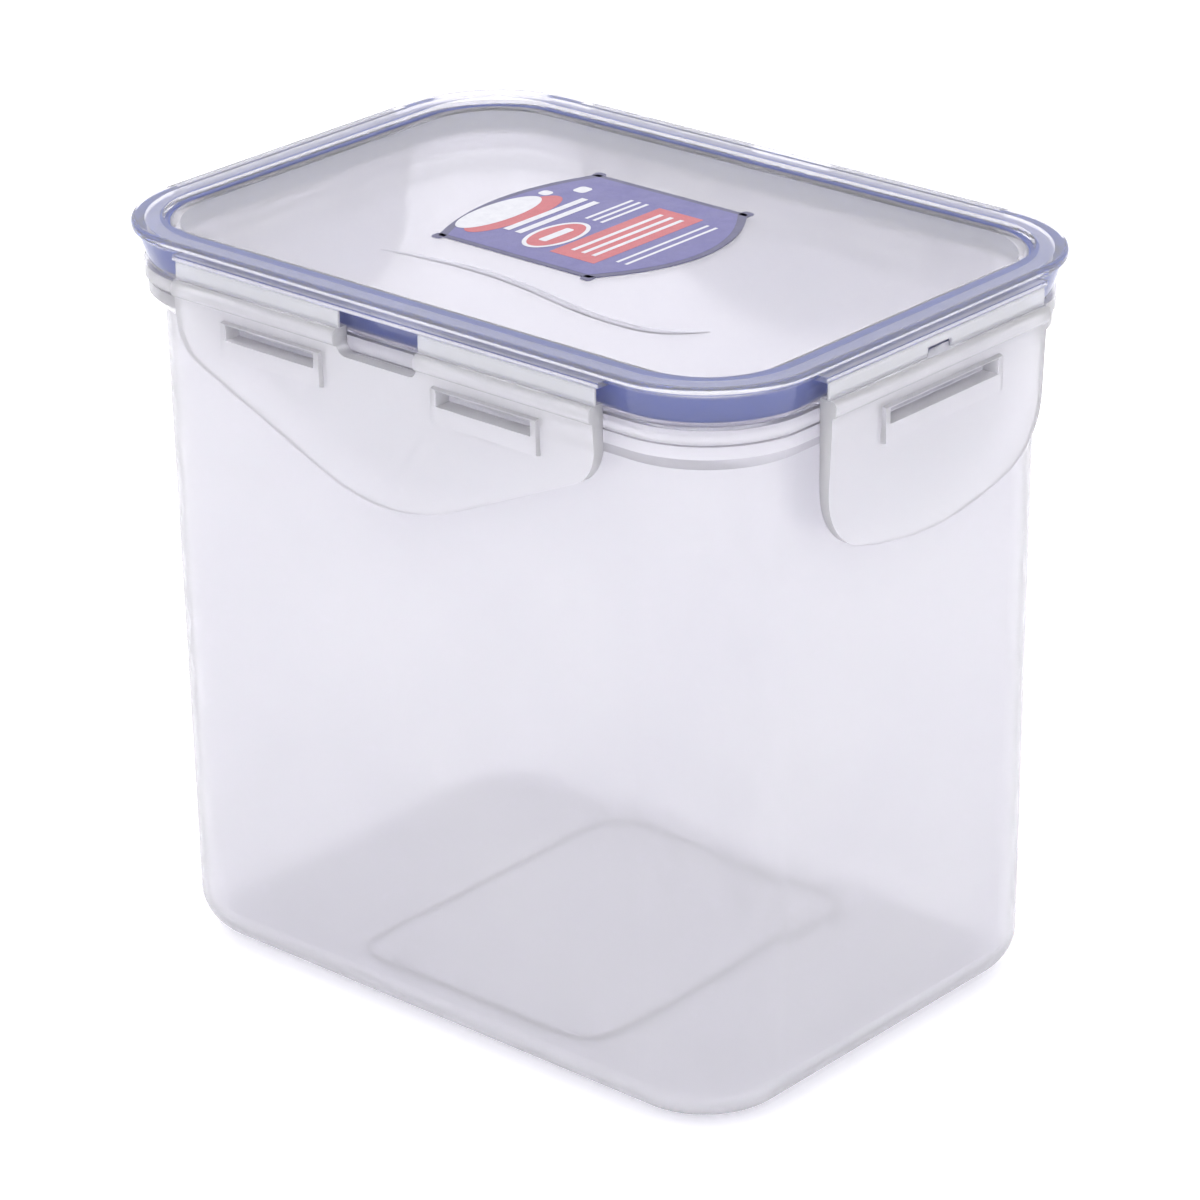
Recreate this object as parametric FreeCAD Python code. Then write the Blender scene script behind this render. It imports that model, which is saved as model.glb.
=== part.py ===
"""Clip-lock food canister: a deep clear container with a four-flap snap lid.

Millimetres. The origin is at the bottom centre of the container, +Z is up, X runs along
the long side and Y along the short side. The rest pose is the closed canister with its
four flaps hanging straight down, just outside the locking ribs. Offsets named INSET run
inward from the lid's outline, and offsets named REACH, INNER or RAISE run outward.
"""
import FreeCAD, Part
import math
import os

from FreeCAD import Vector

# ---- lid -------------------------------------------------------------------------
LID_HALF_X = 75.5
LID_HALF_Y = 53.95
LID_CORNER = 21.5
LID_TOP = 142.0
RIM_LIP_BOTTOM = 140.6
RIM_ROUNDING = 0.9
PANEL_INSET = 6.0
PANEL_TOP = 140.7
PANEL_BOTTOM = 139.2
PANEL_CORNER = 14.8
RECESS_SLOPE = 0.6
CHANNEL_TOP = 140.4
PLUG_BOTTOM = 131.5
PLUG_WALL = 1.4
PLUG_GAP = 0.45
SKIRT_BOTTOM = 134.3
SKIRT_TOP_INSET = 0.5
SKIRT_BOTTOM_INSET = 2.0
SKIRT_WALL = 1.25

# ---- container -------------------------------------------------------------------
BODY_TOP = 134.6
BASE_HALF_X = 68.95
BASE_HALF_Y = 49.05
BASE_CORNER = 17.9
DRAFT_X = 0.0165
DRAFT_Y = 0.0040
CORNER_GROWTH = 0.0119
WALL = 1.6
FLOOR = 2.0
BASE_EDGE_RADIUS = 8.0
PAD_HALF_X = 30.0
PAD_HALF_Y = 37.0
PAD_CORNER = 7.0
PAD_STEP = 0.6
COLLAR_TOP = 133.95
COLLAR_GROOVE = 131.2
COLLAR_BOTTOM = 128.6
COLLAR_FOOT = 125.4
COLLAR_FOOT_SINK = 0.3
COLLAR_INSET = 1.7
LOWER_COLLAR_INSET = 2.1
GROOVE_DEPTH = 0.6
GROOVE_HALF_HEIGHT = 0.35
COLLAR_CORNER = 20.4

# ---- locking ribs on the collar, and the flap windows they sit in -------------------
RIB_UNDERSIDE = 129.0
RIB_TIP_TOP = 130.1
RIB_ROOT_TOP = 130.8
RIB_REACH = -0.3
RIB_ROOT_INSET = 2.6
LONG_RIB_CENTRE = 25.2
LONG_RIB_LENGTH = 19.6
SHORT_RIB_LENGTH = 28.0
WINDOW_BOTTOM = 128.4
WINDOW_TOP = 131.3
WINDOW_END_GAP = 1.0
FRAME_BOTTOM = 124.6
FRAME_TOP = 132.1
FRAME_SIDE = 1.2
FRAME_RAISE = 1.0
FRAME_SLOPE = 0.6

# ---- flaps and their living hinges -------------------------------------------------
FLAP_INNER = 0.0
FLAP_TOP = 136.6
FLAP_BASE = 104.0
FLAP_REACH_AT_BASE = 1.2
FLAP_REACH_AT_RIDGE = 2.7
RIDGE_BOTTOM = 133.4
RIDGE_REACH = 3.6
RIDGE_ROUNDING = 1.3
LONG_FLAP_HALF = 49.2
SHORT_FLAP_HALF = 29.6
LONG_FLAP_SHAPE = {"bottom": 105.3, "bottom_radius": 38.0, "slope_deg": 24.1, "corner_radius": 8.0}
SHORT_FLAP_SHAPE = {"bottom": 104.3, "bottom_radius": 60.0, "slope_deg": 14.0, "corner_radius": 13.0}
LONG_NOTCH_HALF = 9.4
NOTCH_FLOOR = 131.9
NOTCH_CORNER = 2.0
SHORT_NOTCH_HALF = 3.2
SHORT_NOTCH_TOP = 138.3
FILM_INNER = 1.6
FILM_THICKNESS = 0.5
LEDGE_BOTTOM = 139.9
LEDGE_TOP = 140.9
LEDGE_ROOT_INSET = 1.2
LEDGE_REACH = 2.1
LEDGE_OVERHANG = 0.8

# ---- gasket and label ----------------------------------------------------------------
GASKET_BOTTOM = 134.95
GASKET_OUTER_INSET = 3.45
GASKET_INNER_INSET = 6.2
GASKET_INNER_CORNER = 17.7
GASKET_HOLLOW_INSETS = (4.3, 5.3)
GASKET_HOLLOW_Z = (136.4, 139.4)
LABEL_THICKNESS = 0.15
LABEL_X = (-20.6, 15.0)
LABEL_Y = (-18.6, 24.6)
LABEL_LEFT_BULGE = 5.2
LABEL_RIGHT_BULGE = 8.3

# ---- how far cutting blocks run past the faces they cut --------------------------------
PAST = 1.0
CLEAR_OUT = 10.0

SIDES = ("front", "right", "back", "left")


def rounded_rect(half_x, half_y, corner, z):
    """Closed wire: a rectangle with round corners, centred on the Z axis."""
    diagonal = corner * (1.0 - math.sqrt(0.5))
    edges = []
    for quarter in range(4):
        turn = FreeCAD.Rotation(Vector(0, 0, 1), 90.0 * quarter)
        a, b = (half_x, half_y) if quarter % 2 == 0 else (half_y, half_x)
        side_start = turn.multVec(Vector(a, -(b - corner), 0))
        side_end = turn.multVec(Vector(a, b - corner, 0))
        middle = turn.multVec(Vector(a - diagonal, b - diagonal, 0))
        arc_end = turn.multVec(Vector(a - corner, b, 0))
        edges.append(Part.LineSegment(side_start, side_end).toShape())
        edges.append(Part.Arc(side_end, middle, arc_end).toShape())
    wire = Part.Wire(edges)
    wire.translate(Vector(0, 0, z))
    return wire


def ring_block(lower, upper):
    """Solid between two rounded rectangles, each given as (half_x, half_y, corner, z)."""
    return Part.makeLoft([rounded_rect(*lower), rounded_rect(*upper)], True, True)


def lid_outline(inset, corner, z):
    """Rounded rectangle that lies an even distance inside the lid's outline."""
    return (LID_HALF_X - inset, LID_HALF_Y - inset, corner, z)


def body_outline(inset, z):
    """Section of the drafted container at height z, an even distance inside its skin."""
    half_x = BASE_HALF_X + DRAFT_X * z - inset
    half_y = BASE_HALF_Y + DRAFT_Y * z - inset
    return (half_x, half_y, BASE_CORNER + CORNER_GROWTH * z - inset, z)


def side_bar(profile, half_length):
    """Bar along X on the front side. The profile is (outward from the lid outline, z)."""
    points = [Vector(-half_length, -LID_HALF_Y - out, z) for out, z in profile]
    face = Part.Face(Part.makePolygon(points + [points[0]]))
    return face.extrude(Vector(2.0 * half_length, 0, 0))


def horizontal_edges(shape, z, tolerance=0.01):
    """Edges of a shape that lie wholly at one height."""
    found = []
    for edge in shape.Edges:
        box = edge.BoundBox
        if abs(box.ZMin - z) < tolerance and abs(box.ZMax - z) < tolerance:
            found.append(edge)
    return found


def onto_side(shape, side):
    """Copy a front-side shape onto the front, right, back or left of the canister."""
    quarter = {"front": 0, "right": 1, "back": 2, "left": 3}[side]
    moved = shape.copy()
    if quarter % 2 == 1:
        moved.translate(Vector(0, LID_HALF_Y - LID_HALF_X, 0))
    moved.rotate(Vector(0, 0, 0), Vector(0, 0, 1), 90.0 * quarter)
    return moved


def is_long(side):
    return side in ("front", "back")


def rib_centres(side):
    return (-LONG_RIB_CENTRE, LONG_RIB_CENTRE) if is_long(side) else (0.0,)


def rib_length(side):
    return LONG_RIB_LENGTH if is_long(side) else SHORT_RIB_LENGTH


def flap_half(side):
    return LONG_FLAP_HALF if is_long(side) else SHORT_FLAP_HALF


def make_container():
    """Drafted tub with a stepped floor, a double collar and six locking ribs."""
    outer = ring_block(body_outline(0.0, 0.0), body_outline(0.0, BODY_TOP))
    outer = outer.makeFillet(BASE_EDGE_RADIUS, horizontal_edges(outer, 0.0))
    inner = ring_block(body_outline(WALL, FLOOR), body_outline(WALL, BODY_TOP + PAST))
    inner = inner.makeFillet(BASE_EDGE_RADIUS - WALL, horizontal_edges(inner, FLOOR))

    groove_top = COLLAR_GROOVE + GROOVE_HALF_HEIGHT
    groove_floor = COLLAR_GROOVE - GROOVE_HALF_HEIGHT
    waist_inset = LOWER_COLLAR_INSET + GROOVE_DEPTH
    upper = ring_block(
        lid_outline(COLLAR_INSET, COLLAR_CORNER, groove_top),
        lid_outline(COLLAR_INSET, COLLAR_CORNER, COLLAR_TOP),
    )
    groove = ring_block(
        lid_outline(waist_inset, COLLAR_CORNER, groove_floor),
        lid_outline(waist_inset, COLLAR_CORNER, groove_top),
    )
    lower = ring_block(
        lid_outline(LOWER_COLLAR_INSET, COLLAR_CORNER, COLLAR_BOTTOM),
        lid_outline(LOWER_COLLAR_INSET, COLLAR_CORNER, groove_floor),
    )
    under = ring_block(
        body_outline(COLLAR_FOOT_SINK, COLLAR_FOOT),
        lid_outline(LOWER_COLLAR_INSET, COLLAR_CORNER, COLLAR_BOTTOM),
    )
    body = outer.multiFuse([upper, groove, lower, under])

    rib_section = [
        (-RIB_ROOT_INSET, RIB_UNDERSIDE),
        (RIB_REACH, RIB_UNDERSIDE),
        (RIB_REACH, RIB_TIP_TOP),
        (-RIB_ROOT_INSET, RIB_ROOT_TOP),
    ]
    for side in SIDES:
        for centre in rib_centres(side):
            rib = side_bar(rib_section, rib_length(side) / 2.0)
            rib.translate(Vector(centre, 0, 0))
            body = body.fuse(onto_side(rib, side))

    body = body.cut(inner)
    raised_floor = ring_block(
        (PAD_HALF_X, PAD_HALF_Y, PAD_CORNER, FLOOR - PAD_STEP),
        (PAD_HALF_X, PAD_HALF_Y, PAD_CORNER, FLOOR + PAD_STEP),
    )
    hollow_base = ring_block(
        (PAD_HALF_X, PAD_HALF_Y, PAD_CORNER, -PAST),
        (PAD_HALF_X, PAD_HALF_Y, PAD_CORNER, PAD_STEP),
    )
    return body.fuse(raised_floor).cut(hollow_base).removeSplitter()


def make_lid():
    """Recessed lid plate with its rim, inner plug wall, outer skirt and hinge ledges."""
    corner = LID_CORNER
    slab = ring_block(
        lid_outline(0.0, corner, RIM_LIP_BOTTOM),
        lid_outline(0.0, corner, LID_TOP),
    )
    slab = slab.makeFillet(RIM_ROUNDING, horizontal_edges(slab, LID_TOP))
    skirt = ring_block(
        lid_outline(SKIRT_BOTTOM_INSET, corner, SKIRT_BOTTOM),
        lid_outline(SKIRT_TOP_INSET, corner, RIM_LIP_BOTTOM),
    )
    channel = ring_block(
        lid_outline(SKIRT_BOTTOM_INSET + SKIRT_WALL, corner, SKIRT_BOTTOM - PAST),
        lid_outline(SKIRT_TOP_INSET + SKIRT_WALL, corner, CHANNEL_TOP),
    )
    shell = slab.fuse(skirt).cut(channel)

    plug_outer = body_outline(WALL + PLUG_GAP, PLUG_BOTTOM)[:3]
    plug_inner = body_outline(WALL + PLUG_GAP + PLUG_WALL, PLUG_BOTTOM)[:3]
    plug = ring_block(plug_outer + (PLUG_BOTTOM,), plug_outer + (RIM_LIP_BOTTOM,))
    cup = ring_block(plug_inner + (PLUG_BOTTOM - PAST,), plug_inner + (PANEL_BOTTOM,))
    recess = ring_block(
        lid_outline(PANEL_INSET + RECESS_SLOPE, PANEL_CORNER - RECESS_SLOPE, PANEL_TOP),
        lid_outline(PANEL_INSET, PANEL_CORNER, LID_TOP),
    )
    over = ring_block(
        lid_outline(PANEL_INSET, PANEL_CORNER, LID_TOP),
        lid_outline(PANEL_INSET, PANEL_CORNER, LID_TOP + PAST),
    )
    lid = shell.fuse(plug).cut(cup).cut(recess).cut(over)

    ledge = [
        (-LEDGE_ROOT_INSET, LEDGE_BOTTOM),
        (LEDGE_REACH, LEDGE_BOTTOM),
        (LEDGE_REACH, LEDGE_TOP),
        (-LEDGE_ROOT_INSET, LEDGE_TOP),
    ]
    for side in SIDES:
        lid = lid.fuse(onto_side(side_bar(ledge, flap_half(side) + LEDGE_OVERHANG), side))
    return lid.removeSplitter()


def make_gasket():
    """Hollow silicone ring that sits in the lid's channel, above the container's edge."""
    def corner(inset):
        across = (inset - GASKET_OUTER_INSET) / (GASKET_INNER_INSET - GASKET_OUTER_INSET)
        return LID_CORNER + across * (GASKET_INNER_CORNER - LID_CORNER)

    def band(outer_inset, inner_inset, low, high):
        outer = ring_block(
            lid_outline(outer_inset, corner(outer_inset), low),
            lid_outline(outer_inset, corner(outer_inset), high),
        )
        inner = ring_block(
            lid_outline(inner_inset, corner(inner_inset), low - PAST),
            lid_outline(inner_inset, corner(inner_inset), high + PAST),
        )
        return outer.cut(inner)

    ring = band(GASKET_OUTER_INSET, GASKET_INNER_INSET, GASKET_BOTTOM, CHANNEL_TOP)
    hollow = band(GASKET_HOLLOW_INSETS[0], GASKET_HOLLOW_INSETS[1], *GASKET_HOLLOW_Z)
    return ring.cut(hollow)


def flap_outline(half, bottom, bottom_radius, slope_deg, corner_radius):
    """Flap face outline: a round bottom, two slanted runs, round corners, upright sides."""
    slope = math.radians(slope_deg)
    sine = math.sin(slope)
    cosine = math.cos(slope)
    round_end = Vector(bottom_radius * sine, 0, bottom + bottom_radius * (1.0 - cosine))
    corner_x = half - corner_radius
    run_end_x = corner_x + corner_radius * sine
    run_end_z = round_end.z + (run_end_x - round_end.x) * math.tan(slope)
    corner_z = run_end_z + corner_radius * cosine
    middle_angle = math.radians(-90.0 + slope_deg) / 2.0
    run_end = Vector(run_end_x, 0, run_end_z)
    corner_middle = Vector(
        corner_x + corner_radius * math.cos(middle_angle),
        0,
        corner_z + corner_radius * math.sin(middle_angle),
    )
    corner_end = Vector(half, 0, corner_z)
    top = Vector(half, 0, FLAP_TOP)

    def mirror(point):
        return Vector(-point.x, 0, point.z)

    edges = [
        Part.Arc(mirror(round_end), Vector(0, 0, bottom), round_end).toShape(),
        Part.LineSegment(round_end, run_end).toShape(),
        Part.Arc(run_end, corner_middle, corner_end).toShape(),
        Part.LineSegment(corner_end, top).toShape(),
        Part.LineSegment(top, mirror(top)).toShape(),
        Part.LineSegment(mirror(top), mirror(corner_end)).toShape(),
        Part.Arc(mirror(corner_end), mirror(corner_middle), mirror(run_end)).toShape(),
        Part.LineSegment(mirror(run_end), mirror(round_end)).toShape(),
    ]
    return Part.Wire(edges)


def outer_face(z):
    """How far the flap's outer face stands outside the lid's outline at height z."""
    climb = (z - FLAP_BASE) / (RIDGE_BOTTOM - FLAP_BASE)
    return FLAP_REACH_AT_BASE + climb * (FLAP_REACH_AT_RIDGE - FLAP_REACH_AT_BASE)


def long_outer_edges(bar):
    """Edges of a side bar that run along it on its outermost face."""
    found = []
    for edge in bar.Edges:
        box = edge.BoundBox
        if abs(box.XLength - bar.BoundBox.XLength) < 0.01 and abs(box.YMax - bar.BoundBox.YMin) < 0.01:
            found.append(edge)
    return found


def make_plate(side):
    """Flap plate: upright inside, tapering outside, cut to the flap's outline."""
    section = [
        (FLAP_INNER, FLAP_BASE),
        (FLAP_REACH_AT_BASE, FLAP_BASE),
        (FLAP_REACH_AT_RIDGE, RIDGE_BOTTOM),
        (FLAP_REACH_AT_RIDGE, FLAP_TOP),
        (FLAP_INNER, FLAP_TOP),
    ]
    half = flap_half(side)
    shape = LONG_FLAP_SHAPE if is_long(side) else SHORT_FLAP_SHAPE
    outline = Part.Face(flap_outline(half, **shape))
    outline.translate(Vector(0, -LID_HALF_Y + CLEAR_OUT / 2.0, 0))
    cutter = outline.extrude(Vector(0, -CLEAR_OUT, 0))
    return side_bar(section, half).common(cutter)


def make_window_frame(centre, half_width):
    """Raised frame with sloping upper and lower lips around one window."""
    seat = outer_face(FRAME_BOTTOM) - FRAME_RAISE
    proud = outer_face(WINDOW_BOTTOM) + FRAME_RAISE
    frame = side_bar(
        [(seat, FRAME_BOTTOM), (proud, FRAME_BOTTOM + FRAME_SLOPE),
         (proud, FRAME_TOP - FRAME_SLOPE), (seat, FRAME_TOP)],
        half_width + FRAME_SIDE,
    )
    frame.translate(Vector(centre, 0, 0))
    return frame


def make_window(centre, half_width):
    """Block that cuts one window right through the flap."""
    low = FLAP_INNER - PAST
    high = RIDGE_REACH + PAST
    window = side_bar(
        [(low, WINDOW_BOTTOM), (high, WINDOW_BOTTOM), (high, WINDOW_TOP), (low, WINDOW_TOP)],
        half_width,
    )
    window.translate(Vector(centre, 0, 0))
    return window


def make_notch():
    """Block with round lower corners that opens the long flap between its two hinges."""
    notch = Part.makeBox(
        2.0 * LONG_NOTCH_HALF, CLEAR_OUT, CLEAR_OUT,
        Vector(-LONG_NOTCH_HALF, -LID_HALF_Y - CLEAR_OUT / 2.0, NOTCH_FLOOR),
    )
    lower_edges = []
    for edge in notch.Edges:
        box = edge.BoundBox
        if box.YLength > CLEAR_OUT / 2.0 and abs(box.ZMax - NOTCH_FLOOR) < 0.01:
            lower_edges.append(edge)
    return notch.makeFillet(NOTCH_CORNER, lower_edges)


def make_flap(side):
    """Snap flap: a plate with a rounded top ridge and a window for each locking rib."""
    ridge = side_bar(
        [(FLAP_INNER, RIDGE_BOTTOM), (RIDGE_REACH, RIDGE_BOTTOM), (RIDGE_REACH, FLAP_TOP),
         (FLAP_INNER, FLAP_TOP)],
        flap_half(side),
    )
    ridge = ridge.makeFillet(RIDGE_ROUNDING, long_outer_edges(ridge))
    flap = make_plate(side).fuse(ridge)
    half_width = rib_length(side) / 2.0 + WINDOW_END_GAP
    for centre in rib_centres(side):
        flap = flap.fuse(make_window_frame(centre, half_width))
    for centre in rib_centres(side):
        flap = flap.cut(make_window(centre, half_width))
    if is_long(side):
        flap = flap.cut(make_notch())
    return onto_side(flap.removeSplitter(), side)


def make_films(side):
    """Thin living hinge between the lid's ledge and the flap, split or notched mid-way."""
    profile = [
        (FILM_INNER, FLAP_TOP),
        (FILM_INNER + FILM_THICKNESS, FLAP_TOP),
        (FILM_INNER + FILM_THICKNESS, LEDGE_BOTTOM),
        (FILM_INNER, LEDGE_BOTTOM),
    ]
    strip = side_bar(profile, flap_half(side))
    if is_long(side):
        gap_half = LONG_NOTCH_HALF
        gap_top = LEDGE_BOTTOM + PAST
    else:
        gap_half = SHORT_NOTCH_HALF
        gap_top = SHORT_NOTCH_TOP
    gap = Part.makeBox(
        2.0 * gap_half, CLEAR_OUT, gap_top - FLAP_TOP + PAST,
        Vector(-gap_half, -LID_HALF_Y - CLEAR_OUT / 2.0, FLAP_TOP - PAST),
    )
    pieces = sorted(strip.cut(gap).Solids, key=lambda piece: piece.CenterOfMass.x)
    return [onto_side(piece, side) for piece in pieces]


def make_label():
    """Thin sticker on the lid panel: two straight sides and two bulging ends."""
    x0, x1 = LABEL_X
    y0, y1 = LABEL_Y
    middle = (y0 + y1) / 2.0
    edges = [
        Part.LineSegment(Vector(x0, y0, 0), Vector(x1, y0, 0)).toShape(),
        Part.Arc(Vector(x1, y0, 0), Vector(x1 + LABEL_RIGHT_BULGE, middle, 0), Vector(x1, y1, 0)).toShape(),
        Part.LineSegment(Vector(x1, y1, 0), Vector(x0, y1, 0)).toShape(),
        Part.Arc(Vector(x0, y1, 0), Vector(x0 - LABEL_LEFT_BULGE, middle, 0), Vector(x0, y0, 0)).toShape(),
    ]
    wire = Part.Wire(edges)
    wire.translate(Vector(0, 0, PANEL_TOP))
    return Part.Face(wire).extrude(Vector(0, 0, LABEL_THICKNESS))


def make_parts():
    """Every sub-part by name."""
    parts = {
        "container_body": make_container(),
        "lid_plate": make_lid(),
        "seal_gasket": make_gasket(),
        "lid_label": make_label(),
    }
    for side in SIDES:
        parts[side + "_flap"] = make_flap(side)
        films = make_films(side)
        names = ["hinge_film"] if len(films) == 1 else ["hinge_film_a", "hinge_film_b"]
        for name, film in zip(names, films):
            parts[side + "_" + name] = film
    return parts


def main():
    os.makedirs("parts", exist_ok=True)
    for name, shape in make_parts().items():
        solids = shape.Solids
        solid = solids[0] if len(solids) == 1 else Part.makeCompound(solids)
        solid.exportStep(os.path.join("parts", name + ".step"))
        box = solid.BoundBox
        print(
            "%-22s solids %d  valid %s  volume %9.1f  x %.2f..%.2f  y %.2f..%.2f  z %.2f..%.2f"
            % (name, len(solids), solid.isValid(), solid.Volume, box.XMin, box.XMax,
               box.YMin, box.YMax, box.ZMin, box.ZMax)
        )


main()
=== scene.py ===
import math

import bmesh
import bpy
from mathutils import Matrix, Vector


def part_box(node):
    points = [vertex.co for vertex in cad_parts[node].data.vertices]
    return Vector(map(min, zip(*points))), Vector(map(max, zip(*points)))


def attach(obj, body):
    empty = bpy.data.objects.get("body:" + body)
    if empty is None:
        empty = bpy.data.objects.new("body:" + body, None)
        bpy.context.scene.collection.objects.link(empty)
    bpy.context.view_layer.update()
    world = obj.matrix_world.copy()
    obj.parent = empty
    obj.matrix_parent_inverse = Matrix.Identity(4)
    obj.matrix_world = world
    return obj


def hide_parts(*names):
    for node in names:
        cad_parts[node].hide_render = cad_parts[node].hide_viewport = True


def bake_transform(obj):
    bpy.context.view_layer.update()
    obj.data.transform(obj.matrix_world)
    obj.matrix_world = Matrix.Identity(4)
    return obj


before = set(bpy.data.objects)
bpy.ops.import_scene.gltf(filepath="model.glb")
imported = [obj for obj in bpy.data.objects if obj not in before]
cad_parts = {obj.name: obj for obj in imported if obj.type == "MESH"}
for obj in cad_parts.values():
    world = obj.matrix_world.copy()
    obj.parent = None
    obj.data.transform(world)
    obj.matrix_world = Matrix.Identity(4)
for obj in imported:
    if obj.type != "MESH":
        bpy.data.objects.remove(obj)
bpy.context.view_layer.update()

# ------------------------------------------------------------ sizes, in millimetres
MM = 0.001                      # one millimetre in the scene's metres
WELD = 0.002                    # points closer than this are one point
TOUCH = 0.01                    # points this near a line count as on it

LID_HALF_X = 75.5
LID_HALF_Y = 53.95
PANEL_TOP = 140.7

SEAL_INSET = 1.85
SEAL_CORNER = 21.6
SEAL_TOP = 139.9
SEAL_SOFTENING = 0.18
# The seal's section from its outer top edge: each step goes inwards and up by these amounts.
SEAL_STEPS = (
    (0.10, -0.80), (0.83, -3.55), (0.15, -0.35), (0.35, -0.20), (0.90, 0.0), (0.25, 0.35),
    (0.35, 0.0), (0.25, -0.35), (0.75, 0.0), (0.30, 0.20), (0.13, 0.35), (0.0, 5.20),
)

PAD_HALF_X = 30.2
PAD_HALF_Y = 37.2
PAD_CORNER = 7.2
BEAD_FOOT = 2.62
BEAD_STEPS = ((0.35, 0.30), (0.70, 0.06), (0.35, -0.34))

FILM_GAP = 0.02
FILM_STRIPS = 10
FILM_CREASE = 0.13
CREASE_PLACES = (0.1, 0.9)      # shares of the film's height
NOTCH_HALF = 3.2
NOTCH_TOP = 138.3

STICKER_MIDDLE = (-2.8, 3.0)
STICKER_HALF_X = 17.8
STICKER_HALF_Y = 21.6
STICKER_BULGES = (5.2, 8.3)     # how far the -X end and the +X end swell
STICKER_ROWS = 28
STICKER_LIFT = 0.03
BORDER = 1.2
FIELD_BULGE_LOSS = 0.1
EAR_HALF = 1.1
EAR_SETBACK = 0.2
EAR_CORNER = 0.5
PAPER = 0.12
INK = 0.02

# Printed shapes. An oval is (middle, half sizes); a bar is (x range, y range).
RED_OVAL = ((-17.9, -1.6), (4.2, 12.4))
RED_BAND = ((0.6, 11.0), (-12.6, 17.2))
PALE_OVALS = (((-20.6, -2.6), (3.9, 10.8)), ((-4.2, -5.4), (4.3, 7.9)))
PALE_SPOTS = (((-22.3, -19.9), (9.4, 11.9)), ((-18.4, -15.6), (14.6, 17.8)))
SPOT_CORNER = 0.9
BADGE = ((-4.2, -5.4), (3.5, 7.0))
BADGE_BAR = ((-5.1, -3.3), (-9.4, -1.4))
BADGE_BAR_CORNER = 0.5
# Rows of plain bars: (x of each row, y range, bar width, layer of ink).
PALE_ROWS = (
    ((-13.2, -10.4), (-8.8, 12.6), 1.5, 2),
    ((-6.0, -4.2, -2.4), (4.6, 17.4), 0.7, 1),
    ((3.4, 5.8, 8.2), (-9.6, 14.6), 0.9, 2),
    ((13.6, 15.6), (-9.4, 15.4), 0.65, 1),
)

SWEEP_LINE = (
    (-23.7, -30.4), (-10.1, -27.1), (6.5, -27.4), (20.3, -31.0),
    (29.7, -32.1), (38.2, -32.4), (44.4, -30.2), (48.5, -25.5),
)
SWEEP_RADIUS = 1.1
SWEEP_TIP = 0.2                 # share of the radius left at each tip
SWEEP_FLATNESS = 0.045

# ------------------------------------------------------------ finishes
PLASTIC_IOR = 1.49
SILICONE_IOR = 1.41
SCATTER_DEPTH = 4.0
FILM_SCATTER_DEPTH = 1.0
PRINT_DOTS = 5200.0
PAPER_WHITE = (0.86, 0.86, 0.9)

# ------------------------------------------------------------ studio
FLOOR_SIZE = 8.0
FLOOR_DROP = 0.0006
HORIZON_COLOUR = (0.72, 0.72, 0.78, 1.0)
OVERHEAD_COLOUR = (1.0, 1.0, 1.0, 1.0)
OVERHEAD_FROM = 0.6
SKY_STRENGTH = 1.25
SOFTBOXES = (                   # name, place, size, watts
    ("top_softbox", (-0.35, 0.25, 1.15), 0.9, 1.2),
    ("front_softbox", (0.2, -1.2, 0.75), 0.8, 0.8),
)
SOFTBOX_AIM = (0.0, 0.0, 0.07)
CAMERA_PLACE = (0.5485, -0.6177, 0.4300)
CAMERA_AZIMUTH = 41.602
CAMERA_ELEVATION = 23.585
CAMERA_ROLL = -0.888
CAMERA_LENS = 147.0
LIGHT_BOUNCES = 24
DIFFUSE_BOUNCES = 12


# ------------------------------------------------------------ modelling helpers
def metres(*values):
    return tuple(value * MM for value in values)


def nothing_selected():
    if bpy.context.mode != "OBJECT":
        bpy.ops.object.mode_set(mode="OBJECT")
    bpy.ops.object.select_all(action="DESELECT")


def take_up(piece):
    """Makes a piece the active one and the only one selected."""
    nothing_selected()
    bpy.context.view_layer.objects.active = piece
    piece.select_set(True)


def new_piece(name, primitive, scale=(1.0, 1.0, 1.0), **place):
    """Adds a primitive at its size and place, with that place in its mesh."""
    nothing_selected()
    primitive(**place)
    piece = bpy.context.active_object
    piece.scale = scale
    piece.name = name
    piece.data.name = name
    bpy.ops.object.transform_apply(location=True, rotation=True, scale=True)
    return piece


def edit(piece):
    """Opens a piece for editing with all of it selected."""
    take_up(piece)
    bpy.ops.object.mode_set(mode="EDIT")
    bpy.ops.mesh.select_all(action="SELECT")


def pick(piece, kind, rule):
    """Selects the verts, edges or faces of the piece being edited for which rule is true."""
    bpy.ops.mesh.select_mode(type=kind)
    bpy.ops.mesh.select_all(action="DESELECT")
    mesh = bmesh.from_edit_mesh(piece.data)
    items = {"VERT": mesh.verts, "EDGE": mesh.edges, "FACE": mesh.faces}[kind]
    for item in items:
        item.select_set(rule(item))
    mesh.select_flush_mode()
    bmesh.update_edit_mesh(piece.data)


def raise_selection(height):
    bpy.ops.mesh.extrude_region_move(TRANSFORM_OT_translate={"value": (0.0, 0.0, height)})


def round_corners(radius, segments):
    bpy.ops.mesh.bevel(
        offset=radius, offset_type="OFFSET", segments=segments, profile=0.5, affect="VERTICES")


def close_edit(smooth_deg=35.0):
    """Merges doubles, points the faces outwards and shades by angle."""
    bpy.ops.mesh.select_all(action="SELECT")
    bpy.ops.mesh.remove_doubles(threshold=WELD * MM)
    bpy.ops.mesh.normals_make_consistent(inside=False)
    bpy.ops.object.mode_set(mode="OBJECT")
    bpy.ops.object.shade_smooth_by_angle(angle=math.radians(smooth_deg))


def bridge_open_edges(piece):
    pick(piece, "EDGE", lambda edge: edge.is_boundary)
    bpy.ops.mesh.bridge_edge_loops()


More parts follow.
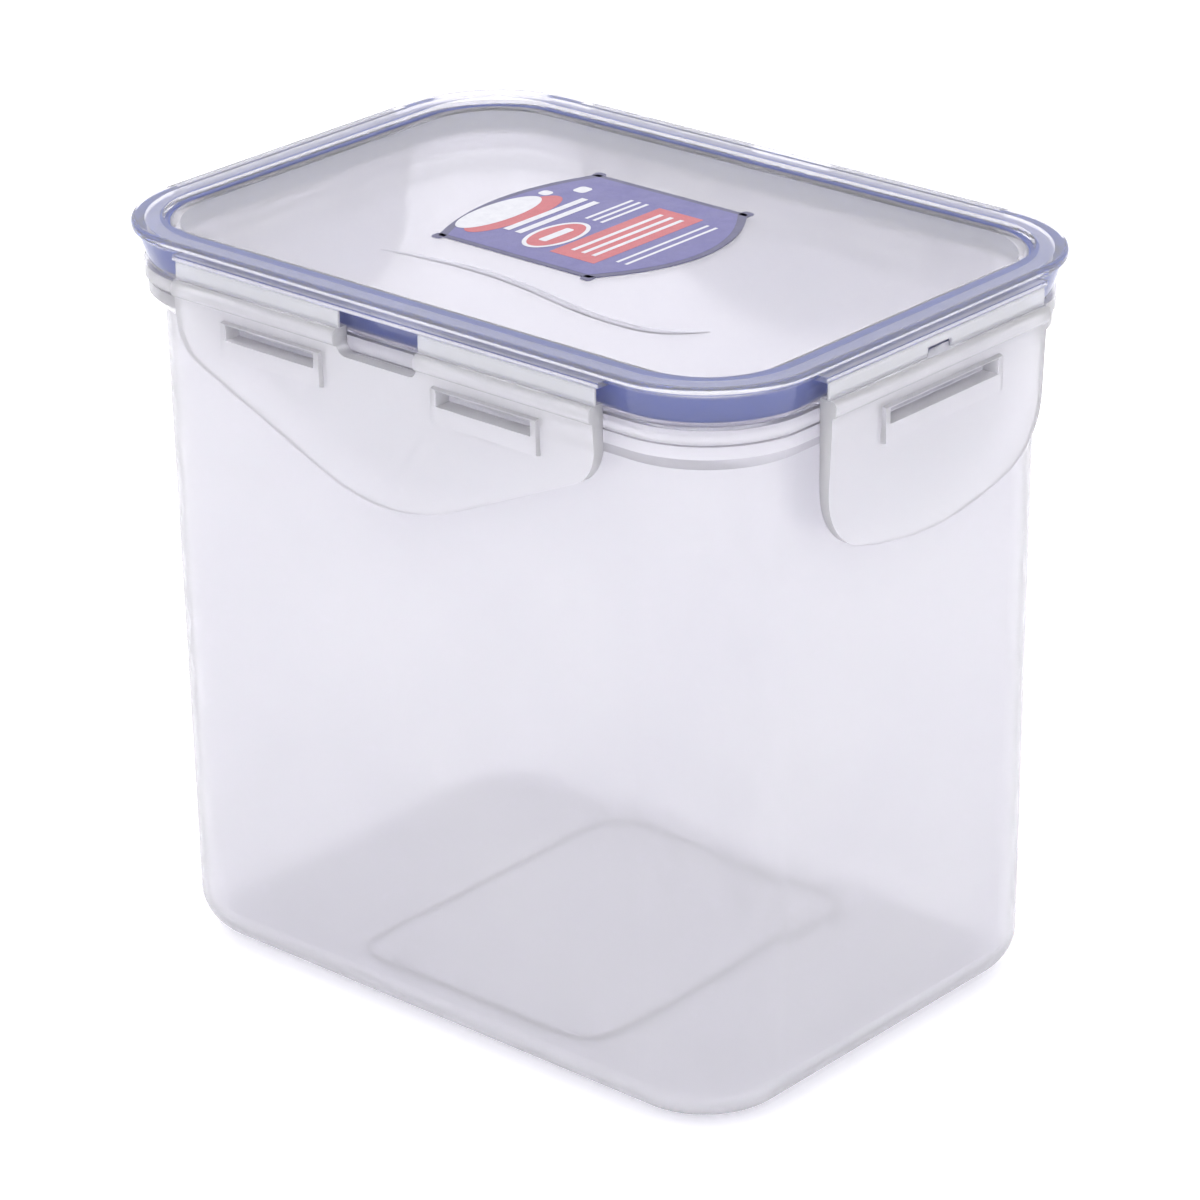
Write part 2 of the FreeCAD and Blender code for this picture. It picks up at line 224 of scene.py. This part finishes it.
def walk_ring(piece, corner, segments, steps):
    """Turns a rectangle into a closed ring: its section goes inwards and up by each step."""
    edit(piece)
    round_corners(corner * MM, segments)
    pick(piece, "FACE", lambda face: True)
    for inward, up in steps:
        if inward:
            bpy.ops.mesh.inset(thickness=inward * MM, depth=0.0)
            bpy.ops.transform.translate(value=(0.0, 0.0, up * MM))
        else:
            raise_selection(up * MM)
    pick(piece, "FACE", lambda face: len(face.verts) > 4)
    bpy.ops.mesh.delete(type="ONLY_FACE")
    bridge_open_edges(piece)


def soften_edges(piece, width):
    """Bevels the sharp edges of a finished piece."""
    take_up(piece)
    bevel = piece.modifiers.new("soft_edges", "BEVEL")
    bevel.width = width
    bevel.segments = 2
    bevel.limit_method = "ANGLE"
    bevel.angle_limit = math.radians(60.0)
    bpy.ops.object.modifier_apply(modifier=bevel.name)


def join_pieces(name, pieces):
    take_up(pieces[0])
    for piece in pieces[1:]:
        piece.select_set(True)
    bpy.ops.object.join()
    joined = bpy.context.active_object
    joined.name = name
    joined.data.name = name
    return joined


# ------------------------------------------------------------ material helpers
def add_node(tree, kind, place, **settings):
    node = tree.nodes.new(kind)
    node.location = place
    for key, value in settings.items():
        setattr(node, key, value)
    return node


def feed(tree, socket, source):
    """Links an output to a socket, or sets the socket to a plain number or colour."""
    if isinstance(source, bpy.types.NodeSocket):
        tree.links.new(source, socket)
    elif isinstance(source, tuple):
        socket.default_value = (*source, 1.0)
    else:
        socket.default_value = source


def noise(tree, coordinates, scale, detail, place, roughness=0.5):
    node = add_node(tree, "ShaderNodeTexNoise", place)
    feed(tree, node.inputs["Scale"], scale)
    feed(tree, node.inputs["Detail"], detail)
    feed(tree, node.inputs["Roughness"], roughness)
    feed(tree, node.inputs["Vector"], coordinates)
    return node.outputs["Fac"]


def spread(tree, value, low, high, place, start=0.3, end=0.7):
    """Maps start to end of a value onto low to high; a noise lies mostly within 0.3 to 0.7."""
    node = add_node(tree, "ShaderNodeMapRange", place)
    feed(tree, node.inputs["From Min"], start)
    feed(tree, node.inputs["From Max"], end)
    feed(tree, node.inputs["To Min"], low)
    feed(tree, node.inputs["To Max"], high)
    feed(tree, node.inputs["Value"], value)
    return node.outputs["Result"]


def mix_colour(tree, factor, first, second, place):
    node = add_node(tree, "ShaderNodeMix", place, data_type="RGBA")
    colours = [socket for socket in node.inputs if socket.type == "RGBA"]
    feed(tree, colours[0], first)
    feed(tree, colours[1], second)
    feed(tree, node.inputs["Factor"], factor)
    return [socket for socket in node.outputs if socket.type == "RGBA"][0]


def make_moulded_skin():
    """Cloudy colour, uneven gloss and faint waviness, by place on the object."""
    group = bpy.data.node_groups.new("moulded_skin", "ShaderNodeTree")
    for name, kind in (
        ("Colour", "NodeSocketColor"), ("Cloud Colour", "NodeSocketColor"),
        ("Cloud Size", "NodeSocketFloat"), ("Smoothest", "NodeSocketFloat"),
        ("Roughest", "NodeSocketFloat"), ("Grain Size", "NodeSocketFloat"),
    ):
        group.interface.new_socket(name=name, in_out="INPUT", socket_type=kind)
    for name, kind in (
        ("Colour", "NodeSocketColor"), ("Roughness", "NodeSocketFloat"), ("Height", "NodeSocketFloat"),
    ):
        group.interface.new_socket(name=name, in_out="OUTPUT", socket_type=kind)
    given = add_node(group, "NodeGroupInput", (-900, 0)).outputs
    result = add_node(group, "NodeGroupOutput", (700, 0)).inputs
    place = add_node(group, "ShaderNodeTexCoord", (-900, 300)).outputs["Object"]

    clouds = noise(group, place, given["Cloud Size"], 3.0, (-600, 300))
    amount = spread(group, clouds, 0.0, 1.0, (-350, 300))
    cloudy = mix_colour(group, amount, given["Colour"], given["Cloud Colour"], (-100, 300))
    feed(group, result["Colour"], cloudy)

    wear = noise(group, place, 160.0, 4.0, (-600, 0), roughness=0.6)
    gloss = spread(group, wear, given["Smoothest"], given["Roughest"], (-350, 0))
    feed(group, result["Roughness"], gloss)

    waves = noise(group, place, 90.0, 1.0, (-600, -250))
    grain = noise(group, place, given["Grain Size"], 2.0, (-600, -500))
    height = add_node(group, "ShaderNodeMath", (-100, -300), operation="MULTIPLY_ADD")
    feed(group, height.inputs[0], grain)
    feed(group, height.inputs[1], 0.12)
    feed(group, height.inputs[2], waves)
    feed(group, result["Height"], height.outputs["Value"])
    return group


def new_material(name):
    material = bpy.data.materials.new(name)
    material.use_nodes = True
    tree = material.node_tree
    tree.nodes.clear()
    output = add_node(tree, "ShaderNodeOutputMaterial", (600, 0))
    shader = add_node(tree, "ShaderNodeBsdfPrincipled", (250, 0))
    feed(tree, output.inputs["Surface"], shader.outputs["BSDF"])
    return material, tree, shader


def add_skin(tree, shader, colour, cloud, cloud_size, gloss, grain_size, relief):
    """Feeds the moulded skin into a shader; relief is its height in millimetres."""
    skin = add_node(tree, "ShaderNodeGroup", (-350, 0), node_tree=MOULDED_SKIN)
    feed(tree, skin.inputs["Colour"], colour)
    feed(tree, skin.inputs["Cloud Colour"], cloud)
    feed(tree, skin.inputs["Cloud Size"], cloud_size)
    feed(tree, skin.inputs["Smoothest"], gloss[0])
    feed(tree, skin.inputs["Roughest"], gloss[1])
    feed(tree, skin.inputs["Grain Size"], grain_size)
    bump = add_node(tree, "ShaderNodeBump", (0, -250))
    feed(tree, bump.inputs["Strength"], 1.0)
    feed(tree, bump.inputs["Distance"], relief * MM)
    feed(tree, bump.inputs["Height"], skin.outputs["Height"])
    feed(tree, shader.inputs["Base Color"], skin.outputs["Colour"])
    feed(tree, shader.inputs["Roughness"], skin.outputs["Roughness"])
    feed(tree, shader.inputs["Normal"], bump.outputs["Normal"])
    return skin


# ------------------------------------------------------------ materials
def make_milky_plastic(name, clearness, colour, cloud, gloss, relief, scatter=SCATTER_DEPTH):
    """Milky polypropylene: mostly clear, with light scattered inside it."""
    material, tree, shader = new_material(name)
    add_skin(tree, shader, colour, cloud, cloud_size=26.0, gloss=gloss, grain_size=1800.0, relief=relief)
    shader.inputs["IOR"].default_value = PLASTIC_IOR
    shader.inputs["Transmission Weight"].default_value = clearness
    shader.inputs["Subsurface Weight"].default_value = 1.0
    shader.inputs["Subsurface Radius"].default_value = (1.0, 1.0, 1.0)
    shader.inputs["Subsurface Scale"].default_value = scatter * MM
    return material


def make_tub_plastic():
    return make_milky_plastic(
        "milky_tub_plastic", clearness=0.71, colour=(0.872, 0.860, 0.908), cloud=(0.895, 0.884, 0.925),
        gloss=(0.04, 0.08), relief=0.006)


def make_lid_plastic():
    return make_milky_plastic(
        "milky_lid_plastic", clearness=0.90, colour=(0.905, 0.893, 0.950), cloud=(0.925, 0.915, 0.962),
        gloss=(0.06, 0.10), relief=0.004)


def make_flap_plastic():
    return make_milky_plastic(
        "milky_flap_plastic", clearness=0.67, colour=(0.915, 0.903, 0.958), cloud=(0.935, 0.926, 0.970),
        gloss=(0.10, 0.16), relief=0.010)


def make_film_plastic():
    """Whitened by flexing, so more light scatters near its surface."""
    return make_milky_plastic(
        "flexed_film_plastic", clearness=0.50, colour=(0.91, 0.91, 0.985), cloud=(0.94, 0.94, 0.99),
        gloss=(0.16, 0.26), relief=0.03, scatter=FILM_SCATTER_DEPTH)


def make_silicone():
    """Soft blue silicone with a slightly dusty face."""
    material, tree, shader = new_material("blue_silicone_seal")
    add_skin(
        tree, shader, colour=(0.032, 0.080, 0.43), cloud=(0.046, 0.098, 0.49), cloud_size=180.0,
        gloss=(0.38, 0.55), grain_size=3000.0, relief=0.03)
    shader.inputs["IOR"].default_value = SILICONE_IOR
    shader.inputs["Sheen Weight"].default_value = 0.15
    shader.inputs["Sheen Roughness"].default_value = 0.5
    return material


def make_ink(name, colour, faded):
    """Ink with fine dots of bare paper in it and a thin clear laminate over it."""
    material, tree, shader = new_material(name)
    skin = add_skin(
        tree, shader, colour=colour, cloud=faded, cloud_size=700.0,
        gloss=(0.28, 0.42), grain_size=6000.0, relief=0.004)
    place = add_node(tree, "ShaderNodeTexCoord", (-600, 320)).outputs["Object"]
    screen = add_node(tree, "ShaderNodeTexVoronoi", (-350, 320), feature="F1")
    feed(tree, screen.inputs["Scale"], PRINT_DOTS)
    feed(tree, screen.inputs["Vector"], place)
    dots = spread(tree, screen.outputs["Distance"], 0.0, 0.05, (-150, 320), start=0.2, end=0.8)
    printed = mix_colour(tree, dots, skin.outputs["Colour"], PAPER_WHITE, (50, 320))
    feed(tree, shader.inputs["Base Color"], printed)
    shader.inputs["Coat Weight"].default_value = 0.35
    shader.inputs["Coat Roughness"].default_value = 0.18
    return material


def make_blue_ink():
    return make_ink("label_blue_ink", (0.060, 0.050, 0.25), (0.075, 0.064, 0.29))


def make_border_ink():
    return make_ink("label_border_ink", (0.016, 0.013, 0.10), (0.026, 0.022, 0.13))


def make_red_ink():
    return make_ink("label_red_ink", (0.44, 0.035, 0.055), (0.50, 0.05, 0.07))


def make_pale_ink():
    return make_ink("label_pale_ink", (0.60, 0.60, 0.66), (0.68, 0.68, 0.73))


def make_studio_paper():
    """Pale paper on a softly lit table."""
    material, tree, shader = new_material("studio_paper")
    add_skin(
        tree, shader, colour=(0.93, 0.93, 0.94), cloud=(0.95, 0.95, 0.96), cloud_size=3.0,
        gloss=(0.75, 0.9), grain_size=900.0, relief=0.02)
    shader.inputs["Emission Color"].default_value = (0.95, 0.94, 1.0, 1.0)
    shader.inputs["Emission Strength"].default_value = 0.30
    return material


MOULDED_SKIN = make_moulded_skin()
TUB_PLASTIC = make_tub_plastic()
LID_PLASTIC = make_lid_plastic()
FLAP_PLASTIC = make_flap_plastic()
FILM_PLASTIC = make_film_plastic()
SILICONE = make_silicone()
BLUE_INK = make_blue_ink()
BORDER_INK = make_border_ink()
RED_INK = make_red_ink()
PALE_INK = make_pale_ink()


# ------------------------------------------------------------ the tub, lid and flaps
def finish_moulded_pieces():
    """The tub, the lid and its flaps keep their exact shapes and get their plastics."""
    finishes = {
        "container_body": TUB_PLASTIC,
        "lid_plate": LID_PLASTIC,
        "front_flap": FLAP_PLASTIC,
        "right_flap": FLAP_PLASTIC,
        "back_flap": FLAP_PLASTIC,
        "left_flap": FLAP_PLASTIC,
    }
    for name, plastic in finishes.items():
        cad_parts[name].material_slots[0].material = plastic


def make_pad_bead():
    """Fine bead round the raised pad inside the tub's floor."""
    bead = new_piece(
        "floor_pad_bead", bpy.ops.mesh.primitive_plane_add, size=1.0,
        location=metres(0.0, 0.0, BEAD_FOOT),
        scale=(2.0 * PAD_HALF_X * MM, 2.0 * PAD_HALF_Y * MM, 1.0))
    walk_ring(bead, PAD_CORNER, segments=10, steps=BEAD_STEPS)
    close_edit(smooth_deg=60.0)
    bead.data.materials.append(FILM_PLASTIC)
    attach(bead, "container")


def make_panel_sweep():
    """Faint raised sweep moulded across the lid's panel."""
    curve = bpy.data.curves.new("panel_sweep", "CURVE")
    curve.dimensions = "3D"
    curve.resolution_u = 12
    curve.bevel_depth = SWEEP_RADIUS * MM
    curve.bevel_resolution = 4
    curve.use_fill_caps = True
    spline = curve.splines.new("NURBS")
    spline.points.add(len(SWEEP_LINE) - 1)
    for point, (x, y) in zip(spline.points, SWEEP_LINE):
        point.co = (x * MM, y * MM, 0.0, 1.0)
        point.radius = 1.0
    spline.points[0].radius = SWEEP_TIP
    spline.points[-1].radius = SWEEP_TIP
    spline.order_u = 4
    spline.use_endpoint_u = True
    sweep = bpy.data.objects.new("panel_sweep", curve)
    bpy.context.scene.collection.objects.link(sweep)
    take_up(sweep)
    bpy.ops.object.convert(target="MESH")
    sweep = bpy.context.active_object
    sweep.scale = (1.0, 1.0, SWEEP_FLATNESS)
    sweep.location = metres(0.0, 0.0, PANEL_TOP)
    bpy.ops.object.transform_apply(location=True, rotation=True, scale=True)
    edit(sweep)
    close_edit(smooth_deg=60.0)
    sweep.data.materials.append(LID_PLASTIC)
    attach(sweep, "lid")


# ------------------------------------------------------------ the seal
def make_seal():
    """Blue ring that fills the lid's channel."""
    half_x = (LID_HALF_X - SEAL_INSET) * MM
    half_y = (LID_HALF_Y - SEAL_INSET) * MM
    seal = new_piece(
        "seal_ring", bpy.ops.mesh.primitive_plane_add, size=1.0,
        location=metres(0.0, 0.0, SEAL_TOP), scale=(2.0 * half_x, 2.0 * half_y, 1.0))
    walk_ring(seal, SEAL_CORNER, segments=16, steps=SEAL_STEPS)
    close_edit(smooth_deg=50.0)
    soften_edges(seal, SEAL_SOFTENING * MM)
    seal.data.materials.append(SILICONE)
    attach(seal, "lid")
    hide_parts("seal_gasket")


# ------------------------------------------------------------ the living hinges
def cut_film_notch(film, low, height):
    """Opens the narrow notch in the middle of a short film's lower edge."""
    for place in (-NOTCH_HALF * MM, NOTCH_HALF * MM):
        bpy.ops.mesh.select_all(action="SELECT")
        bpy.ops.mesh.bisect(plane_co=(0.0, place, 0.0), plane_no=(0.0, 1.0, 0.0))
    strip = height / FILM_STRIPS
    notch_top = low + strip * round((NOTCH_TOP * MM - low) / strip)

    def in_notch(face):
        middle = face.calc_center_median()
        return abs(middle.y) < NOTCH_HALF * MM and middle.z < notch_top

    pick(film, "FACE", in_notch)
    bpy.ops.mesh.delete(type="FACE")
    bridge_open_edges(film)


def make_film(node, is_short, across):
    """Thin strip between the ledge and a flap, creased near both ends, where it folds.
    across is the axis through its thickness, 0 for X and 1 for Y."""
    low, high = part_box(node)
    low = Vector(low)
    high = Vector(high)
    low.z += FILM_GAP * MM
    high.z -= FILM_GAP * MM
    middle = (low + high) / 2.0
    size = high - low
    outward = 1.0 if middle[across] > 0.0 else -1.0
    film = new_piece(
        node.replace("hinge_film", "film"), bpy.ops.mesh.primitive_cube_add, size=1.0,
        location=middle, scale=size)

    edit(film)
    for strip in range(1, FILM_STRIPS):
        bpy.ops.mesh.select_all(action="SELECT")
        bpy.ops.mesh.bisect(
            plane_co=(0.0, 0.0, low.z + size.z * strip / FILM_STRIPS), plane_no=(0.0, 0.0, 1.0))
    if is_short:
        cut_film_notch(film, low.z, size.z)

    push = Vector((0.0, 0.0, 0.0))
    push[across] = -outward * FILM_CREASE * MM
    for share in CREASE_PLACES:
        crease = low.z + size.z * share
        pick(film, "VERT", lambda vert: (
            abs(vert.co.z - crease) < TOUCH * MM and (vert.co[across] - middle[across]) * outward > 0.0))
        bpy.ops.transform.translate(value=push)
    close_edit(smooth_deg=40.0)
    film.data.materials.append(FILM_PLASTIC)
    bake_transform(film)
    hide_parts(node)


def make_films():
    for side in ("front", "right", "back", "left"):
        if side in ("front", "back"):
            for half in ("a", "b"):
                make_film(side + "_hinge_film_" + half, is_short=False, across=1)
        else:
            make_film(side + "_hinge_film", is_short=True, across=0)


# ------------------------------------------------------------ the sticker
def thicken(piece, thickness, material):
    """Gives the flat outline being edited its thickness and its ink."""
    bpy.ops.mesh.select_all(action="SELECT")
    raise_selection(thickness * MM)
    close_edit()
    piece.data.materials.append(material)


def swollen_sheet(name, half_x, half_y, bulges, low, thickness, material):
    """Sheet with straight long sides and two ends that swell, towards -X and +X."""
    middle_x, middle_y = STICKER_MIDDLE
    sheet = new_piece(
        name, bpy.ops.mesh.primitive_grid_add, x_subdivisions=2, y_subdivisions=STICKER_ROWS, size=1.0,
        location=metres(middle_x, middle_y, low), scale=(2.0 * half_x * MM, 2.0 * half_y * MM, 1.0))
    edit(sheet)
    rows = sorted({round(vert.co.y, 7) for vert in bmesh.from_edit_mesh(sheet.data).verts})
    for end, bulge in zip((-1.0, 1.0), bulges):
        for row in rows[1:-1]:
            reach = bulge * (1.0 - ((row / MM - middle_y) / half_y) ** 2)
            pick(sheet, "VERT", lambda vert: (
                abs(vert.co.y - row) < TOUCH * MM
                and (vert.co.x / MM - middle_x) * end > half_x * 0.9))
            bpy.ops.transform.translate(value=(end * reach * MM, 0.0, 0.0))
    thicken(sheet, thickness, material)
    return sheet


def printed_bar(name, x_range, y_range, low, material, corner=0.0, thickness=INK):
    bar = new_piece(
        name, bpy.ops.mesh.primitive_plane_add, size=1.0,
        location=metres(sum(x_range) / 2.0, sum(y_range) / 2.0, low),
        scale=((x_range[1] - x_range[0]) * MM, (y_range[1] - y_range[0]) * MM, 1.0))
    edit(bar)
    if corner:
        round_corners(corner * MM, segments=6)
    thicken(bar, thickness, material)
    return bar


def printed_oval(name, middle, halves, low, material):
    oval = new_piece(
        name, bpy.ops.mesh.primitive_circle_add, vertices=56, radius=1.0, fill_type="NGON",
        location=metres(*middle, low), scale=(halves[0] * MM, halves[1] * MM, 1.0))
    edit(oval)
    thicken(oval, INK, material)
    return oval


def make_ears(low):
    """Small dark points at the sticker's four corners."""
    ears = []
    for x_end in (-1.0, 1.0):
        for y_end in (-1.0, 1.0):
            x = STICKER_MIDDLE[0] + x_end * (STICKER_HALF_X - EAR_SETBACK)
            y = STICKER_MIDDLE[1] + y_end * STICKER_HALF_Y
            ears.append(printed_bar(
                "sticker_ear", (x - EAR_HALF, x + EAR_HALF), (y - EAR_HALF, y + EAR_HALF),
                low, BORDER_INK, corner=EAR_CORNER, thickness=PAPER))
    return ears


def make_red_print(levels):
    return [
        printed_oval("sticker_red", *RED_OVAL, levels[1], RED_INK),
        printed_bar("sticker_red", *RED_BAND, levels[1], RED_INK),
    ]


def make_pale_print(levels):
    pale = [printed_oval("sticker_pale", *oval, levels[2], PALE_INK) for oval in PALE_OVALS]
    for spot in PALE_SPOTS:
        pale.append(printed_bar("sticker_pale", *spot, levels[1], PALE_INK, corner=SPOT_CORNER))
    for rows, y_range, width, level in PALE_ROWS:
        for x in rows:
            x_range = (x - width / 2.0, x + width / 2.0)
            pale.append(printed_bar("sticker_pale", x_range, y_range, levels[level], PALE_INK))
    return pale


def make_sticker():
    """Thin sheet on the panel with levels of plain print; it carries no wording."""
    bottom = PANEL_TOP + STICKER_LIFT
    levels = [bottom + PAPER + INK * level for level in range(5)]
    field_bulges = [bulge - FIELD_BULGE_LOSS for bulge in STICKER_BULGES]
    border = swollen_sheet(
        "sticker_base", STICKER_HALF_X, STICKER_HALF_Y, STICKER_BULGES, bottom, PAPER, BORDER_INK)
    field = swollen_sheet(
        "sticker_field", STICKER_HALF_X - BORDER, STICKER_HALF_Y - BORDER, field_bulges,
        levels[0], INK, BLUE_INK)
    ears = make_ears(bottom)
    red = make_red_print(levels)
    pale = make_pale_print(levels)
    badge = printed_oval("sticker_badge", *BADGE, levels[3], RED_INK)
    badge_bar = printed_bar("sticker_badge_bar", *BADGE_BAR, levels[4], PALE_INK, corner=BADGE_BAR_CORNER)

    layers = [
        border, field, badge, badge_bar, join_pieces("sticker_ears", ears),
        join_pieces("sticker_red", red), join_pieces("sticker_pale", pale),
    ]
    for layer in layers:
        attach(layer, "lid")
    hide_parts("lid_label")


# ------------------------------------------------------------ the studio
def make_floor():
    floor = new_piece(
        "studio_floor", bpy.ops.mesh.primitive_plane_add, size=FLOOR_SIZE,
        location=(0.0, 0.0, -FLOOR_DROP))
    floor.data.materials.append(make_studio_paper())


def make_sky():
    """Even white light from all round, a little dimmer towards the horizon."""
    world = bpy.data.worlds.new("soft_studio")
    bpy.context.scene.world = world
    world.use_nodes = True
    tree = world.node_tree
    tree.nodes.clear()
    output = add_node(tree, "ShaderNodeOutputWorld", (600, 0))
    background = add_node(tree, "ShaderNodeBackground", (350, 0))
    direction = add_node(tree, "ShaderNodeTexCoord", (-500, 0))
    split = add_node(tree, "ShaderNodeSeparateXYZ", (-300, 0))
    ramp = add_node(tree, "ShaderNodeValToRGB", (-50, 0))
    horizon, overhead = ramp.color_ramp.elements
    horizon.position = 0.0
    horizon.color = HORIZON_COLOUR
    overhead.position = OVERHEAD_FROM
    overhead.color = OVERHEAD_COLOUR
    feed(tree, split.inputs["Vector"], direction.outputs["Generated"])
    feed(tree, ramp.inputs["Fac"], split.outputs["Z"])
    feed(tree, background.inputs["Color"], ramp.outputs["Color"])
    feed(tree, background.inputs["Strength"], SKY_STRENGTH)
    feed(tree, output.inputs["Surface"], background.outputs["Background"])


def make_softboxes():
    for name, place, size, watts in SOFTBOXES:
        lamp = bpy.data.lights.new(name, "AREA")
        lamp.shape = "SQUARE"
        lamp.size = size
        lamp.energy = watts
        softbox = bpy.data.objects.new(name, lamp)
        bpy.context.scene.collection.objects.link(softbox)
        softbox.location = place
        aim = Vector(SOFTBOX_AIM) - Vector(place)
        softbox.rotation_euler = aim.to_track_quat("-Z", "Y").to_euler()


def keep_whites_and_bounces():
    """Whites stay white, and light can pass through every wall of the closed box."""
    scene = bpy.context.scene
    scene.view_settings.view_transform = "Standard"
    scene.cycles.max_bounces = LIGHT_BOUNCES
    scene.cycles.transmission_bounces = LIGHT_BOUNCES
    scene.cycles.diffuse_bounces = DIFFUSE_BOUNCES


def make_camera():
    azimuth = math.radians(CAMERA_AZIMUTH)
    elevation = math.radians(CAMERA_ELEVATION)
    roll = math.radians(CAMERA_ROLL)
    back = Vector((
        math.sin(azimuth) * math.cos(elevation),
        -math.cos(azimuth) * math.cos(elevation),
        math.sin(elevation)))
    right = Vector((0.0, 0.0, 1.0)).cross(back).normalized()
    up = back.cross(right)
    turned_right = math.cos(roll) * right + math.sin(roll) * up
    turned_up = math.cos(roll) * up - math.sin(roll) * right
    lens = bpy.data.cameras.new("studio_camera")
    lens.lens = CAMERA_LENS
    lens.sensor_width = 36.0
    lens.clip_end = 50.0
    camera = bpy.data.objects.new("studio_camera", lens)
    bpy.context.scene.collection.objects.link(camera)
    turn = Matrix((turned_right, turned_up, back)).transposed().to_4x4()
    camera.matrix_world = Matrix.Translation(CAMERA_PLACE) @ turn
    bpy.context.scene.camera = camera


# ------------------------------------------------------------ build
finish_moulded_pieces()
make_seal()
make_films()
make_sticker()
make_panel_sweep()
make_pad_bead()
make_floor()
make_sky()
make_softboxes()
keep_whites_and_bounces()
make_camera()
